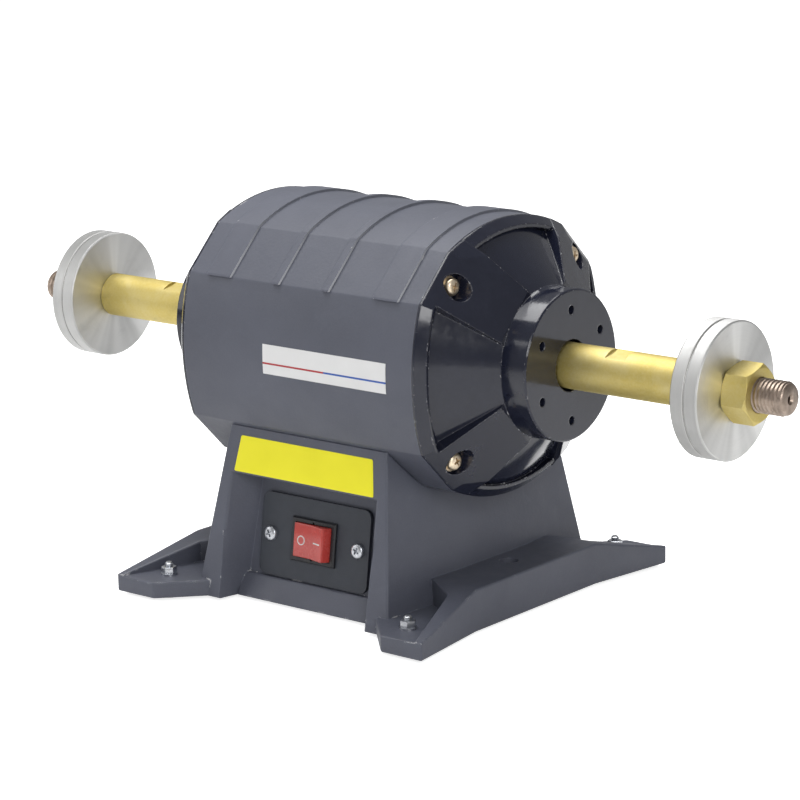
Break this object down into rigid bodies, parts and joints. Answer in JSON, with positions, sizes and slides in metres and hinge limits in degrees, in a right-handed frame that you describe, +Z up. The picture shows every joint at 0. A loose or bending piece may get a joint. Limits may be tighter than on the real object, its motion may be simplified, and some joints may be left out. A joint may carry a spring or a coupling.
{
  "type": "bench grinder",
  "caption": "Double-ended bench grinder motor on a cast pedestal, with clamping flanges and nuts on a through shaft and a rocker switch in a recessed front panel.",
  "frame": {"origin": "on the bench, under the middle of the machine", "axes": "+X along the shaft to the right-hand spindle, -Y the front with the switch, +Z up"},
  "size_m": [0.554, 0.2382, 0.2318],
  "materials": {
    "cast_paint": "satin textured paint on castings",
    "bell_paint": "gloss black enamel",
    "yellow_zinc": "yellow chromate zinc on steel",
    "gold_screw": "gold chromate zinc",
    "flange_aluminium": "turned",
    "shaft_steel": "dark turned steel",
    "bearing_steel": "ground",
    "core_steel": "stacked laminations",
    "cage_aluminium": "die cast",
    "winding_copper": "enamelled copper wire",
    "zinc_fastener": "bright zinc",
    "zinc_sheet": "zinc sheet",
    "foot_rubber": "moulded",
    "plate_plastic": "fine moulded texture",
    "switch_plastic": "moulded",
    "rocker_plastic": "moulded red",
    "terminal_brass": "stamped",
    "can_aluminium": "drawn can"
  },
  "bodies": {
    "stand": {"base": "cast_paint", "motor_housing": "cast_paint", "end_bell_left": "bell_paint", "end_bell_right": "bell_paint", "bell_screws_left": "gold_screw", "bell_screws_right": "gold_screw", "bearing_outer_ring_left": "bearing_steel", "bearing_outer_ring_right": "bearing_steel", "bearing_balls_left": "bearing_steel", "bearing_balls_right": "bearing_steel", "wave_washer": "bearing_steel", "stator_core": "core_steel", "stator_winding": "winding_copper", "foot_screws": "zinc_fastener", "foot_washers": "zinc_fastener", "foot_nuts": "zinc_fastener", "switch_plate_screws": "zinc_fastener", "bottom_cover_screws": "zinc_fastener", "housing_bolts": "zinc_fastener", "clamp_screw": "zinc_fastener", "bottom_cover": "zinc_sheet", "capacitor_clamp": "zinc_sheet", "rubber_feet": "foot_rubber", "switch_plate": "plate_plastic", "cable_gland": "plate_plastic", "gland_cap": "plate_plastic", "gland_lock_nut": "plate_plastic", "switch_body": "switch_plastic", "switch_terminals": "terminal_brass", "capacitor": "can_aluminium"},
    "spindle": {"shaft": "shaft_steel", "rotor_core": "core_steel", "rotor_cage": "cage_aluminium", "bearing_inner_ring_left": "bearing_steel", "bearing_inner_ring_right": "bearing_steel", "sleeve_left": "yellow_zinc", "sleeve_right": "yellow_zinc", "inner_flange_left": "flange_aluminium", "inner_flange_right": "flange_aluminium", "outer_flange_left": "flange_aluminium", "outer_flange_right": "flange_aluminium", "spindle_nut_left": "yellow_zinc", "spindle_nut_right": "yellow_zinc"},
    "rocker": {"switch_rocker": "rocker_plastic"}
  },
  "joints": [
    {"name": "shaft_spin", "type": "hinge", "parent": "stand", "child": "spindle", "pos_m": [0, 0, 0.1493], "axis": [1, 0, 0], "continuous": true},
    {"name": "switch_rock", "type": "hinge", "parent": "stand", "child": "rocker", "pos_m": [0, -0.07329, 0.04077], "axis": [0, 0.1374, 0.9905], "range_deg": [0, 18]}
  ]
}
